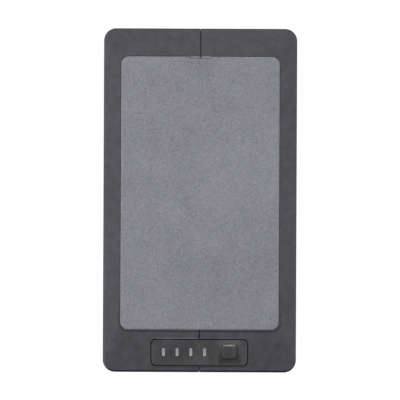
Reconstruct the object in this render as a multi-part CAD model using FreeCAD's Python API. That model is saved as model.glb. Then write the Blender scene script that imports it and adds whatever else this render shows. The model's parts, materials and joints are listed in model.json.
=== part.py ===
import FreeCAD, Part
import math
import os

# Wall battery unit: a slim 12.8 V lithium iron phosphate battery that hangs on a wall bracket.
# Millimetres. X is to the right as seen from the front, +Y points into the wall, +Z is up.
# The origin is on the wall plane, level with the middle of the casing.

V = FreeCAD.Vector

# ------------------------------------------------------------------ driving dimensions
# casing outline
WIDTH = 190.0
HEIGHT = 338.0
CORNER_R = 12.0
WALL = 2.5                      # general moulded wall
EDGE_R = 2.6                    # rounding between the sides and the sloping front
REAR_EDGE_R = 3.0

# stations along Y, from the wall (0) to the front (negative)
REAR_RIM_Y = -1.0               # rear rim of the casing, just clear of the wall
SPLIT_Y = -13.0                 # rear cover ends, seal begins
SEAL_T = 0.8
SHOULDER_Y = -49.0              # outer edge of the sloping front
RIM_Y = -53.0                   # inner edge of the sloping front

# front cover and its opening
COVER_W = 155.6
COVER_TOP = 141.15
COVER_BOTTOM = -126.9
COVER_R = 7.5
COVER_GAP = 0.3
LIP_R = 0.4                     # rounding of the opening's front edge
FLANGE_W = 9.0                  # landing flange the tie plate sits on
FLANGE_Y = -48.4
FLANGE_T = 2.4
TIE_T = 1.2
COVER_PLATE_T = 2.9
FELT_T = 1.5

# finger ledge in the notch at the top of the cover
LEDGE_W = 22.2
LEDGE_H = 1.85
LEDGE_LEAN = 1.85               # how far each side leans in from top to foot
LEDGE_RISE = 0.45               # how far the ledge's ramp scoops into the rim above it
LEDGE_DEPTH = 0.8               # depth of the ramp at its top
LEDGE_SLOT = 0.5                # width of the seam where it runs through the ledge
NOTCH_GAP = 0.3

# seam between the two half shells
SEAM_GROOVE = 1.2
SEAM_DEPTH = 1.5                # on the front
SEAM_SIDE_DEPTH = 0.3           # on the top and bottom walls
SEAM_SLIT = 0.12
JOINER_Y = -27.0

# control pod
POD_Z = -149.6
POD_W = 94.5
POD_H = 25.5
POD_R = 5.0
POD_GAP = 0.8
LAMP_Z = -149.1                 # level of the light bars
POD_RECESS = 0.25               # bezel face lies this far below the casing's slope
POD_BEAD = (1.0, 0.35)          # width and height of the raised bead round the pod opening
POD_BACK_Y = -45.0              # rear end of the casing's pod housing
BEZEL_BACK_Y = -44.2            # front face of the bezel's ears
LAMP_X = (-35.3, -21.9, -8.4, 5.1)
LAMP_W = 3.0
LAMP_H = 7.8
BUTTON_X = 29.4
BUTTON_Z = -148.8
BUTTON_W = 13.8
BUTTON_H = 15.0
BUTTON_R = 3.0
BUTTON_GAP = 0.4
BUTTON_PROUD = 2.2
BUTTON_EDGE_R = 2.4
BOARD_Y = -41.0                 # front face of the control board

# battery pack: cells lie across the unit, stacked upwards
CELL_R = 16.1
CELL_L = 140.0
CELL_PITCH = 33.2
CELL_ROWS = 8
CELL_Y = -25.8
CELL_TOP_Z = 160.0

# wall bracket
BRACKET_T = 1.5
BRACKET_W = 120.0
BRACKET_Z = (-100.0, 98.0)
HOOK_X = 30.0
HOOK_W = 20.0
HOOK_SEAT_Z = (84.0, -76.0)     # where the hanger edges rest
HOOK_RISE = 10.0
WALL_HOLE_X = 48.0
WALL_HOLE_Z = (-88.0, 60.0)
WALL_HOLE_R = 2.75

# battery management board
BMS_FRONT_Y = -15.6
BALANCE_X = -60.0
BALANCE_Z = -121.0
FUSE_X = (65.0, 76.0)
FUSE_Z = (-137.5, -125.5)
LEAD_RUN_X = 79.0

# connector bay in the underside
BAY_X = 58.0
BAY_Y = (-17.6, -35.6)
BAY_TOP_Z = -155.0
BAY_WALL = 2.0
VENT_X = 50.0
CONNECTOR_X = 32.0
BARREL_R = 6.0

# ------------------------------------------------------------------ derived sizes
HALF_W = WIDTH / 2
HALF_H = HEIGHT / 2
OPEN_X = COVER_W / 2 + COVER_GAP
OPEN_TOP = COVER_TOP + COVER_GAP
OPEN_BOTTOM = COVER_BOTTOM - COVER_GAP
OPEN_R = COVER_R + COVER_GAP
SHELL_Y = SPLIT_Y - SEAL_T
TIE_FRONT_Y = FLANGE_Y - TIE_T
FLANGE_MID_X = OPEN_X - FLANGE_W / 2
CAVITY_Y = SHOULDER_Y + WALL
SLOPE = (SHOULDER_Y - RIM_Y) / (OPEN_BOTTOM + HALF_H)
SLOPE_ANGLE = math.degrees(math.atan(SLOPE))
HOLDER_TOP_Z = CELL_TOP_Z + 1.5
HOLDER_BOTTOM_Z = CELL_TOP_Z - CELL_PITCH * CELL_ROWS - 1.5
ROW_Z = [CELL_TOP_Z - CELL_PITCH * (i + 0.5) for i in range(CELL_ROWS)]
BUSBAR_X = CELL_L / 2 + 2.0
POSITIVE_TAP = (1, -31.5, ROW_Z[7])     # side, y and z where a lead leaves a bus bar
NEGATIVE_TAP = (1, -20.0, ROW_Z[0])
BALANCE_TAPS = [(-1, -21.0 - 2.0 * i, ROW_Z[2 * i]) for i in range(4)]
REAR_SCREWS = [(x, z) for x in (-85.5, 85.5) for z in (-157.0, -52.0, 52.0, 157.0)]
TIE_SCREWS = [(x, z) for x in (-FLANGE_MID_X, FLANGE_MID_X) for z in (-84.0, 7.0, 98.0)]
TIE_SCREWS += [(x, z) for x in (-40.0, 40.0) for z in (OPEN_TOP - 4.5, OPEN_BOTTOM + 4.5)]
SNAPS = [(x, z) for x in (-FLANGE_MID_X, FLANGE_MID_X) for z in (-115.0, -38.0, 52.0, 128.0)]
POD_SCREW_X = 57.0
BMS_SCREWS = [(x, z) for x in (-71.0, 71.0) for z in (-142.0, -118.0)]
PACK_FEET = [(x, z) for x in (-76.5, 76.5) for z in (-90.0, 140.0)]


# ------------------------------------------------------------------ building helpers
def box(x0, x1, y0, y1, z0, z1):
    lo = V(min(x0, x1), min(y0, y1), min(z0, z1))
    return Part.makeBox(abs(x1 - x0), abs(y1 - y0), abs(z1 - z0), lo)


def rod(start, end, radius):
    """A round bar from one point to another."""
    start, end = V(*start), V(*end)
    return Part.makeCylinder(radius, (end - start).Length, start, end - start)


def pipe(start, end, outer, inner):
    return rod(start, end, outer).cut(rod(start, end, inner))


def cable(points, radius):
    """A round lead through the given points, with ball-shaped bends."""
    solid = rod(points[0], points[1], radius)
    for a, b in zip(points[1:], points[2:]):
        solid = solid.fuse(Part.makeSphere(radius, V(*a))).fuse(rod(a, b, radius))
    return solid


def outline(x0, x1, z0, z1, r, y):
    """Rounded rectangle, as a wire in the plane at y."""
    k = r * (1 - math.sqrt(0.5))

    def arc(a, b, c):
        return Part.Arc(V(a[0], y, a[1]), V(b[0], y, b[1]), V(c[0], y, c[1])).toShape()

    def line(a, b):
        return Part.makeLine(V(a[0], y, a[1]), V(b[0], y, b[1]))

    return Part.Wire([
        line((x0 + r, z0), (x1 - r, z0)),
        arc((x1 - r, z0), (x1 - k, z0 + k), (x1, z0 + r)),
        line((x1, z0 + r), (x1, z1 - r)),
        arc((x1, z1 - r), (x1 - k, z1 - k), (x1 - r, z1)),
        line((x1 - r, z1), (x0 + r, z1)),
        arc((x0 + r, z1), (x0 + k, z1 - k), (x0, z1 - r)),
        line((x0, z1 - r), (x0, z0 + r)),
        arc((x0, z0 + r), (x0 + k, z0 + k), (x0 + r, z0)),
    ])


def slab(x0, x1, z0, z1, r, y0, y1):
    """Rounded rectangle given thickness along Y."""
    return Part.Face(outline(x0, x1, z0, z1, r, y0)).extrude(V(0, y1 - y0, 0))


def casing_slab(inset, y0, y1):
    """The casing's outline, moved inwards, given thickness along Y."""
    x, z = HALF_W - inset, HALF_H - inset
    return slab(-x, x, -z, z, CORNER_R - inset, y0, y1)


def opening_slab(grow, y0, y1):
    """The front opening's outline, moved outwards, given thickness along Y."""
    x = OPEN_X + grow
    r = max(OPEN_R + grow, 1.5)
    return slab(-x, x, OPEN_BOTTOM - grow, OPEN_TOP + grow, r, y0, y1)


def pod_slab(grow, y0, y1):
    x, z = POD_W / 2 + grow, POD_H / 2 + grow
    return slab(-x, x, POD_Z - z, POD_Z + z, POD_R + grow, y0, y1)


def button_slab(extra, y0, y1):
    """The button's rounded outline, grown by extra."""
    half_x, half_z = BUTTON_W / 2 + extra, BUTTON_H / 2 + extra
    x0, x1 = BUTTON_X - half_x, BUTTON_X + half_x
    z0, z1 = BUTTON_Z - half_z, BUTTON_Z + half_z
    return slab(x0, x1, z0, z1, BUTTON_R + extra, y0, y1)


def nose(inset):
    """The sloping front: from the casing's outline to the opening's."""
    x, z = HALF_W - inset, HALF_H - inset
    grow = inset
    wide = outline(-x, x, -z, z, CORNER_R - inset, SHOULDER_Y + inset)
    ox = OPEN_X + grow
    narrow = outline(-ox, ox, OPEN_BOTTOM - grow, OPEN_TOP + grow, OPEN_R + grow, RIM_Y + inset)
    return Part.makeLoft([wide, narrow], True, True)


def slope_y(z, recess=0.0):
    """Y of the sloping front below the opening, at height z, set back by recess."""
    return SHOULDER_Y - (z + HALF_H) * SLOPE + recess


def behind_slope(recess):
    """Everything behind the slope below the opening, set back by recess."""
    reach = 120.0
    block = box(-reach, reach, 0, reach, -reach, reach)
    block.rotate(V(0, 0, 0), V(1, 0, 0), SLOPE_ANGLE)
    block.translate(V(0, slope_y(POD_Z, recess), POD_Z))
    return block


def edges_at_y(shape, y, keep=lambda edge: True):
    """Edges that lie wholly in the plane at y."""
    found = []
    for edge in shape.Edges:
        b = edge.BoundBox
        if abs(b.YMin - y) < 1e-4 and abs(b.YMax - y) < 1e-4 and keep(edge):
            found.append(edge)
    return found


def rounded(shape, radius, edges):
    return shape.makeFillet(radius, edges)


def machine_screw(x, y, z, direction, head_r, head_t, shank_r, length):
    """Pan head on its seat at (x, y, z); the shank runs along direction, the cross slot is in the head."""
    d = V(*direction)
    seat = V(x, y, z)
    shank = Part.makeCylinder(shank_r, length, seat, d)
    head = Part.makeCylinder(head_r, head_t, seat - d * head_t, d)
    top = [e for e in head.Edges if abs((e.CenterOfMass - (seat - d * head_t)).Length) < 1e-6]
    head = head.makeFillet(head_t * 0.45, top)
    solid = head.fuse(shank)
    across = d.cross(V(1, 0, 0)) if abs(d.x) < 0.5 else d.cross(V(0, 1, 0))
    other = d.cross(across)
    for u, w in ((across, other), (other, across)):
        corner = seat - d * (head_t + 0.1) - u * (head_r * 0.55) - w * 0.3
        wire = Part.makePolygon([
            corner, corner + u * (head_r * 1.1), corner + u * (head_r * 1.1) + w * 0.6,
            corner + w * 0.6, corner,
        ])
        solid = solid.cut(Part.Face(wire).extrude(d * (head_t * 0.55 + 0.1)))
    return solid


def countersunk_screw(x, y, z, head_r, shank_r, length):
    """Flat head flush at y, shank towards +Y, cross slot in the head."""
    rise = head_r - shank_r
    head = Part.makeCone(head_r, shank_r, rise, V(x, y, z), V(0, 1, 0))
    solid = head.fuse(rod((x, y + rise, z), (x, y + length, z), shank_r))
    for half_x, half_z in ((head_r * 0.55, 0.3), (0.3, head_r * 0.55)):
        solid = solid.cut(box(x - half_x, x + half_x, y - 1, y + rise * 0.6, z - half_z, z + half_z))
    return solid


def hexagon(x, y, z, across_flats, direction, height):
    """Hexagonal prism centred on (x, y, z), standing along direction."""
    d = V(*direction)
    u = V(0, 0, 1) if abs(d.z) < 0.5 else V(1, 0, 0)
    w = d.cross(u)
    radius = across_flats / math.sqrt(3)
    centre = V(x, y, z)
    corners = []
    for i in range(7):
        angle = math.radians(60 * i)
        corners.append(centre + u * (radius * math.cos(angle)) + w * (radius * math.sin(angle)))
    return Part.Face(Part.makePolygon(corners)).extrude(d * height)


def trapezoid(half_top, half_foot, z_top, z_foot, y0, y1):
    """Symmetric trapezoid in the XZ plane given thickness along Y."""
    wire = Part.makePolygon([
        V(-half_top, y0, z_top), V(half_top, y0, z_top),
        V(half_foot, y0, z_foot), V(-half_foot, y0, z_foot), V(-half_top, y0, z_top),
    ])
    return Part.Face(wire).extrude(V(0, y1 - y0, 0))


def save(name, *solids):
    """Writes one node: one solid, or a group of separate solids."""
    shape = solids[0] if len(solids) == 1 else Part.makeCompound(list(solids))
    if not shape.isValid():
        print("not valid:", name)
    shape.exportStep(os.path.join("parts", name + ".step"))


# ------------------------------------------------------------------ casing: half shells
def ledge():
    """Block of the finger ledge at the top of the opening, before its front is ramped."""
    over = 1.0
    half_foot = LEDGE_W / 2 - LEDGE_LEAN
    block = trapezoid(LEDGE_W / 2 + over, half_foot, OPEN_TOP + over, OPEN_TOP - LEDGE_H, FLANGE_Y, RIM_Y)
    return block.cut(box(-LEDGE_W, LEDGE_W, RIM_Y - 1, RIM_Y + 5, OPEN_TOP + 0.02, OPEN_TOP + 3))


def ledge_ramp():
    """What is cut away in front of the ledge, so that it ramps up towards the cover's edge."""
    top = OPEN_TOP + LEDGE_RISE
    foot = OPEN_TOP - LEDGE_H
    side = Part.makePolygon([
        V(-LEDGE_W, RIM_Y - 1, foot - 1), V(-LEDGE_W, RIM_Y - 1, top),
        V(-LEDGE_W, RIM_Y + LEDGE_DEPTH, top), V(-LEDGE_W, RIM_Y + 0.15, foot - 0.1),
        V(-LEDGE_W, RIM_Y - 1, foot - 1),
    ])
    wedge = Part.Face(side).extrude(V(2 * LEDGE_W, 0, 0))
    half_foot = LEDGE_W / 2 - LEDGE_LEAN - 1
    return wedge.common(trapezoid(LEDGE_W / 2 + LEDGE_RISE, half_foot, top, foot - 1, 0, RIM_Y - 2))


def shell_pair():
    """Both half shells as one closed form, before they are parted at the seam."""
    body = casing_slab(0, SHELL_Y, SHOULDER_Y).fuse(nose(0)).removeSplitter()
    body = rounded(body, EDGE_R, edges_at_y(body, SHOULDER_Y))
    body = body.cut(casing_slab(WALL, SHELL_Y + 1, CAVITY_Y)).cut(nose(WALL))
    body = body.fuse(opening_slab(WALL, FLANGE_Y + FLANGE_T, RIM_Y + WALL - 0.2))
    body = body.cut(opening_slab(0, FLANGE_Y, RIM_Y - 5))
    body = body.cut(opening_slab(-FLANGE_W, SHELL_Y, RIM_Y - 5)).removeSplitter()
    body = rounded(body, LIP_R, edges_at_y(body, RIM_Y))
    return body.fuse(ledge()).cut(ledge_ramp())


def with_pod_housing(body):
    """Adds the tube that holds the control bezel and cuts its opening through the slope."""
    half_x = POD_W / 2 + POD_GAP
    half_z = POD_H / 2 + POD_GAP
    tube = box(-half_x - WALL, half_x + WALL, POD_BACK_Y, RIM_Y, -HALF_H + 1.5, POD_Z + half_z + WALL)
    tube = tube.common(behind_slope(0.6))
    for side in (-1, 1):
        boss = rod((side * POD_SCREW_X, BEZEL_BACK_Y, POD_Z), (side * POD_SCREW_X, SHOULDER_Y, POD_Z), 3.6)
        tube = tube.fuse(boss)
    width, height = POD_BEAD
    bead = pod_slab(POD_GAP + width, SHOULDER_Y, RIM_Y).common(behind_slope(-height))
    bead = rounded(bead, height * 0.9, [e for e in bead.Edges if on_slope(e, -height)])
    body = body.fuse(tube).fuse(bead).cut(pod_slab(POD_GAP, 0, RIM_Y - 5))
    body = rounded(body, height, [e for e in body.Edges if on_slope(e, -height) and inside_bead(e)])
    for side in (-1, 1):
        x = side * POD_SCREW_X
        body = body.cut(rod((x, BEZEL_BACK_Y + 1, POD_Z), (x, BEZEL_BACK_Y - 4.2, POD_Z), 1.2))
    return body


def on_slope(edge, recess):
    """True for an edge that lies in the plane of the slope below the opening, set back by recess."""
    ends = [edge.Vertexes[0].Point, edge.Vertexes[-1].Point]
    return all(abs(p.y - slope_y(p.z, recess)) < 0.01 for p in ends + [edge.CenterOfMass])


def inside_bead(edge):
    """True for an edge of the pod opening itself."""
    b = edge.BoundBox
    reach_x, reach_z = POD_W / 2 + POD_GAP + 0.05, POD_H / 2 + POD_GAP + 0.05
    return max(-b.XMin, b.XMax) < reach_x and max(POD_Z - b.ZMin, b.ZMax - POD_Z) < reach_z


def with_connector_bay(body):
    """Adds the walls of the bay in the underside and opens it downwards."""
    x, (y0, y1), t = BAY_X, BAY_Y, BAY_WALL
    walls = box(-x - t, x + t, y0 + t, y1 - t, -HALF_H + 1.0, BAY_TOP_Z + t)
    body = body.fuse(walls).cut(box(-x, x, y0, y1, -HALF_H - 1, BAY_TOP_Z))
    middle = (y0 + y1) / 2
    for hole_x, r in ((-CONNECTOR_X, BARREL_R + 0.1), (CONNECTOR_X, BARREL_R + 0.1), (VENT_X, 2.5)):
        body = body.cut(rod((hole_x, middle, BAY_TOP_Z - 1), (hole_x, middle, BAY_TOP_Z + t + 1), r))
    return body


def with_screw_bosses(body):
    """Bosses for the rear cover's screws and for the tie plate's screws."""
    for x, z in REAR_SCREWS:
        side = 1 if x > 0 else -1
        boss = rod((x, SHELL_Y, z), (x, -40, z), 4.0)
        rib = box(x, side * (HALF_W - 1.5), SHELL_Y, -40, z - 1.2, z + 1.2)
        body = body.fuse(boss).fuse(rib)
        body = body.cut(rod((x, SHELL_Y + 1, z), (x, -38, z), 1.3))
    for x, z in TIE_SCREWS:
        body = body.fuse(rod((x, FLANGE_Y + 0.5, z), (x, -42.4, z), 3.4))
        body = body.cut(rod((x, FLANGE_Y - 1, z), (x, -43.4, z), 1.5))
    for x, z in SNAPS:
        body = body.cut(rod((x, FLANGE_Y - 1, z), (x, FLANGE_Y + FLANGE_T + 1, z), 2.7))
    return body


def half_shells():
    body = with_pod_housing(shell_pair())
    body = with_connector_bay(body)
    body = with_screw_bosses(body).cut(joiner_drill())
    reach = 400.0
    groove = box(-SEAM_GROOVE / 2, SEAM_GROOVE / 2, 0, -reach, -reach, reach)
    core = casing_slab(SEAM_SIDE_DEPTH, 1, SHOULDER_Y + EDGE_R).fuse(nose(SEAM_DEPTH))
    groove = groove.cut(core.fuse(casing_slab(SEAM_DEPTH, 1, SHOULDER_Y + SEAM_DEPTH)))
    body = body.cut(groove)
    half = LEDGE_SLOT / 2
    notch = box(-half, half, RIM_Y - 2, RIM_Y + 2.5, OPEN_TOP - LEDGE_H - 1, OPEN_TOP + 1)
    body = body.cut(notch)
    left = body.cut(box(-SEAM_SLIT / 2, reach, reach, -reach, -reach, reach))
    right = body.cut(box(-reach, SEAM_SLIT / 2, reach, -reach, -reach, reach))
    save("left_shell", left)
    save("right_shell", right)


def joiner_drill():
    """The two pairs of screw holes through the joiners and the walls they are fixed to."""
    spans = [(x, HALF_H - WALL - 3, HALF_H - 0.8) for x in (-15, 15)]
    spans += [(x, BAY_TOP_Z + 0.3, BAY_TOP_Z + BAY_WALL + 3) for x in (-10, 10)]
    return Part.makeCompound([rod((x, JOINER_Y, z0), (x, JOINER_Y, z1), 1.2) for x, z0, z1 in spans])


def seam_joiners():
    """Plates that bridge the seam inside the casing, with their screws."""
    top_z = HALF_H - WALL
    bay_z = BAY_TOP_Z + BAY_WALL
    top_plate = box(-22, 22, JOINER_Y - 8, JOINER_Y + 8, top_z - 2, top_z)
    bay_plate = box(-16, 16, JOINER_Y - 5, JOINER_Y + 5, bay_z, bay_z + 1.6)
    save("top_joiner", top_plate.cut(joiner_drill()))
    save("bay_joiner", bay_plate.cut(joiner_drill()))
    screws = [machine_screw(x, JOINER_Y, top_z - 2, (0, 0, 1), 2.5, 1.6, 1.15, 3.6) for x in (-15, 15)]
    screws += [machine_screw(x, JOINER_Y, bay_z + 1.6, (0, 0, -1), 2.3, 1.6, 1.15, 3.2) for x in (-10, 10)]
    save("joiner_screws", *screws)


# ------------------------------------------------------------------ casing: rear cover
def rear_cover():
    body = casing_slab(0, REAR_RIM_Y, SPLIT_Y)
    body = rounded(body, REAR_EDGE_R, edges_at_y(body, REAR_RIM_Y))
    body = body.cut(casing_slab(WALL, REAR_RIM_Y - WALL, SPLIT_Y - 1))
    pocket = (66.0, -120.0, 116.0, 6.0)
    x, z0, z1, r = pocket
    body = body.fuse(slab(-x - 2, x + 2, z0 - 2, z1 + 2, r + 2, REAR_RIM_Y - 0.5, -8.5))
    body = body.cut(slab(-x, x, z0, z1, r, 1, -6.5))
    lip = casing_slab(WALL + 0.1, SPLIT_Y + 1, -15.5).cut(casing_slab(WALL + 1.3, 0, -20))
    body = body.fuse(lip)
    for sx, sz in REAR_SCREWS:
        side = 1 if sx > 0 else -1
        body = body.cut(box(sx - side * 5, side * (HALF_W - WALL), SPLIT_Y, -20, sz - 5, sz + 5))
        body = body.fuse(rod((sx, REAR_RIM_Y - 1, sz), (sx, SPLIT_Y, sz), 4.6))
        body = body.cut(rod((sx, 0, sz), (sx, -4, sz), 3.4))
        body = body.cut(rod((sx, 0, sz), (sx, -14, sz), 1.7))
    for bx, bz in PACK_FEET:
        body = body.fuse(rod((bx, -3, bz), (bx, -9.2, bz), 4.0)).cut(rod((bx, -4, bz), (bx, -10, bz), 1.25))
    for bx, bz in BMS_SCREWS:
        body = body.fuse(rod((bx, -3, bz), (bx, -14, bz), 3.2)).cut(rod((bx, -6, bz), (bx, -15, bz), 1.1))
    for hx, hz in hanger_screw_places():
        body = body.fuse(rod((hx, -8, hz), (hx, -9.0, hz), 3.2)).cut(rod((hx, -5, hz), (hx, -8.6, hz), 1.25))
    for bx, bz in bumper_places():
        body = body.fuse(rod((bx, -2.5, bz), (bx, -4.4, bz), 7.6))
        body = body.cut(rod((bx, 0, bz), (bx, -2.6, bz), 6.1))
    body = rounded(body, 0.8, pocket_rim(body, x, z0, z1))
    save("rear_cover", body.removeSplitter())


def pocket_rim(body, x, z0, z1):
    """Edges where the bracket pocket meets the rear face."""

    def inside(edge):
        b = edge.BoundBox
        wide = abs(b.XMin) < x + 0.1 and abs(b.XMax) < x + 0.1
        return wide and b.ZMin > z0 - 0.1 and b.ZMax < z1 + 0.1

    return edges_at_y(body, REAR_RIM_Y, inside)


def bumper_places():
    return [(x, z) for x in (-78.0, 78.0) for z in (-142.0, 142.0)]


def hanger_screw_places():
    return [(x, z + 21.0) for x in (-44.0, 0.0, 44.0) for z in HOOK_SEAT_Z]


def rear_seal():
    ring = casing_slab(0.6, SPLIT_Y, SHELL_Y).cut(casing_slab(WALL - 0.1, 0, -20))
    for x, z in REAR_SCREWS:
        ring = ring.cut(rod((x, 0, z), (x, -20, z), 1.7))
    save("rear_seal", ring)


def wall_bumpers():
    pads = []
    for x, z in bumper_places():
        pad = rod((x, 0, z), (x, -2.5, z), 6.0)
        pads.append(rounded(pad, 0.5, edges_at_y(pad, 0)))
    save("wall_bumpers", *pads)


def rear_screws():
    save("rear_cover_screws", *[
        machine_screw(x, -4.0, z, (0, -1, 0), 2.8, 1.9, 1.25, 20.0) for x, z in REAR_SCREWS
    ])


# ------------------------------------------------------------------ hanging: bracket and hangers
def wall_bracket():
    """Sheet steel plate with four punched hooks and four wall holes."""
    half = BRACKET_W / 2
    plate = slab(-half, half, BRACKET_Z[0], BRACKET_Z[1], 8.0, 0, -BRACKET_T)
    for seat in HOOK_SEAT_Z:
        for side in (-1, 1):
            x0, x1 = side * HOOK_X - HOOK_W / 2, side * HOOK_X + HOOK_W / 2
            window = slab(x0 - 0.8, x1 + 0.8, seat - BRACKET_T + 0.01, seat + HOOK_RISE + 1.5, 1.0, 1, -3)
            plate = plate.cut(window)
            leg = box(x0, x1, 0, -4.5, seat - BRACKET_T, seat)
            tab = slab(x0, x1, seat - BRACKET_T, seat + HOOK_RISE, 1.0, -3.0, -4.5)
            plate = plate.fuse(leg).fuse(tab)
    for x in (-WALL_HOLE_X, WALL_HOLE_X):
        for z in WALL_HOLE_Z:
            plate = plate.cut(rod((x, 1, z), (x, -3, z), WALL_HOLE_R))
        plate = plate.cut(slab(x / 2 - 12, x / 2 + 12, -42, 40, 6.0, 1, -3))
    save("wall_bracket", plate.removeSplitter())


def hanger(seat):
    """Z-shaped steel rail on the unit; its lower edge rests on the bracket's hooks."""
    half = 52.0
    lower = box(-half, half, -1.65, -2.85, seat, seat + 16.0)
    step = box(-half, half, -1.65, -6.5, seat + 14.8, seat + 16.0)
    upper = box(-half, half, -5.3, -6.5, seat + 14.8, seat + 26.0)
    rail = lower.fuse(step).fuse(upper).removeSplitter()
    for x, z in hanger_screw_places():
        rail = rail.cut(rod((x, 0, z), (x, -8, z), 1.7))
    return rail


def hangers():
    save("upper_hanger", hanger(HOOK_SEAT_Z[0]))
    save("lower_hanger", hanger(HOOK_SEAT_Z[1]))
    save("hanger_screws", *[
        machine_screw(x, -5.3, z, (0, -1, 0), 2.8, 1.8, 1.25, 3.2) for x, z in hanger_screw_places()
    ])


# ------------------------------------------------------------------ front cover
def cover_outline_slab(inset, y0, y1):
    x = COVER_W / 2 - inset
    body = slab(-x, x, COVER_BOTTOM + inset, COVER_TOP - inset, COVER_R - inset, y0, y1)
    foot = OPEN_TOP - LEDGE_H - NOTCH_GAP - inset
    half_foot = LEDGE_W / 2 - LEDGE_LEAN + NOTCH_GAP * 0.6 + inset
    rise = 2 * LEDGE_H
    tool = trapezoid(half_foot + 2 * LEDGE_LEAN, half_foot, foot + rise, foot, y0 + 1, y1 - 1)
    return body.cut(tool)


def front_cover():
    back = TIE_FRONT_Y - 0.1
    plate = cover_outline_slab(0.15, back, back - COVER_PLATE_T)
    for x, z in SNAPS:
        stud = rod((x, back - 0.5, z), (x, FLANGE_Y + FLANGE_T + 0.2, z), 2.2)
        barb = Part.makeCone(2.45, 1.4, 2.2, V(x, FLANGE_Y + FLANGE_T + 0.2, z), V(0, 1, 0))
        slot = box(x - 0.4, x + 0.4, back + 0.4, -40, z - 3, z + 3)
        plate = plate.fuse(stud.fuse(barb).cut(slot))
    save("cover_plate", plate)
    front = back - COVER_PLATE_T
    felt = cover_outline_slab(0, front, front - FELT_T)
    save("cover_felt", rounded(felt, 0.7, edges_at_y(felt, front - FELT_T)))


def tie_plate():
    """Steel plate that ties the half shells together behind the front cover."""
    plate = opening_slab(-1.0, FLANGE_Y, TIE_FRONT_Y)
    clear = trapezoid(LEDGE_W / 2 + 3, LEDGE_W / 2, OPEN_TOP + 3, OPEN_TOP - LEDGE_H - 1.0, 0, -60)
    plate = plate.cut(clear)
    for x, z in TIE_SCREWS:
        plate = plate.cut(Part.makeCone(2.75, 1.6, 1.15, V(x, TIE_FRONT_Y, z), V(0, 1, 0)))
        plate = plate.cut(rod((x, 0, z), (x, -60, z), 1.6))
    for x, z in SNAPS:
        plate = plate.cut(rod((x, 0, z), (x, -60, z), 2.7))
    for z in (-90.0, -45.0, 0.0, 45.0, 90.0):
        plate = plate.cut(slab(-48, 48, z - 5, z + 5, 4.9, 0, -60))
    save("tie_plate", plate)
    save("tie_plate_screws", *[
        countersunk_screw(x, TIE_FRONT_Y, z, 2.6, 1.45, 5.8) for x, z in TIE_SCREWS
    ])


# ------------------------------------------------------------------ control pod
def control_bezel():
    body = pod_slab(0, BEZEL_BACK_Y, RIM_Y).common(behind_slope(POD_RECESS))
    body = rounded(body, 0.6, [e for e in body.Edges if on_slope(e, POD_RECESS)])
    half_z = POD_H / 2 + 1.8
    ears = slab(-62, 62, POD_Z - half_z, POD_Z + half_z, 6.0, BEZEL_BACK_Y + 1.6, BEZEL_BACK_Y)
    body = body.fuse(ears)
    body = body.cut(box(-44, 44, -42, -47.9, POD_Z - 10.4, POD_Z + 10.4))
    for x in LAMP_X:
        half = LAMP_W / 2
        z0, z1 = LAMP_Z - LAMP_H / 2, LAMP_Z + LAMP_H / 2
        body = body.cut(slab(x - half, x + half, z0, z1, 0.9, -45, RIM_Y - 3))
    body = body.cut(button_slab(BUTTON_GAP, -45, RIM_Y - 3))
    for x, z in board_screw_places():
        body = body.fuse(rod((x, BOARD_Y, z), (x, -47.9, z), 2.6)).cut(rod((x, -40, z), (x, -46, z), 0.9))
    for side in (-1, 1):
        body = body.cut(rod((side * POD_SCREW_X, -40, POD_Z), (side * POD_SCREW_X, -50, POD_Z), 1.5))
    save("control_bezel", body)


def board_screw_places():
    return [(x, POD_Z + dz) for x in (-41.0, 41.0) for dz in (-7.4, 7.4)]


def bezel_seal():
    ring = pod_slab(1.7, POD_BACK_Y, BEZEL_BACK_Y).cut(pod_slab(0.3, 0, -60))
    save("bezel_seal", ring)


def light_pipe():
    """One clear moulding: a bar over the LEDs with four fingers to the front."""
    middle = (LAMP_X[0] + LAMP_X[-1]) / 2
    reach = (LAMP_X[-1] - LAMP_X[0]) / 2 + 4
    bar = slab(middle - reach, middle + reach, LAMP_Z - 5, LAMP_Z + 5, 1.5, -42.4, -44.0)
    for x in LAMP_X:
        half = LAMP_W / 2 - 0.08
        tall = LAMP_H / 2 - 0.08
        bar = bar.fuse(slab(x - half, x + half, LAMP_Z - tall, LAMP_Z + tall, 0.8, -43, RIM_Y))
    save("light_pipe", bar.common(behind_slope(POD_RECESS + 0.15)))


def button_cap():
    """Square cap with a crowned face parallel to the slope, a retaining flange and a plunger."""
    face_y = slope_y(BUTTON_Z, POD_RECESS) - BUTTON_PROUD
    crown_r = 60.0
    angle = math.radians(SLOPE_ANGLE)
    centre = V(BUTTON_X, face_y + crown_r * math.cos(angle), BUTTON_Z + crown_r * math.sin(angle))
    cap = button_slab(0, -47.2, RIM_Y - 3).common(Part.makeSphere(crown_r, centre))
    rim = [e for e in cap.Edges if e.BoundBox.YMax < -50.0]
    cap = rounded(cap, BUTTON_EDGE_R, rim)
    flange = button_slab(1.5, -46.8, -47.8)
    plunger = rod((BUTTON_X, -47.0, BUTTON_Z), (BUTTON_X, -45.95, BUTTON_Z), 2.5)
    save("button_cap", cap.fuse(flange).fuse(plunger))


def push_switch():
    y = BOARD_Y
    body = box(BUTTON_X - 6, BUTTON_X + 6, y, y - 3.3, BUTTON_Z - 6, BUTTON_Z + 6)
    body = body.cut(rod((BUTTON_X, y - 0.9, BUTTON_Z), (BUTTON_X, y - 5, BUTTON_Z), 3.5))
    save("switch_body", body)
    save("switch_stem", rod((BUTTON_X, y - 2.2, BUTTON_Z), (BUTTON_X, y - 4.9, BUTTON_Z), 3.4))


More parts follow.
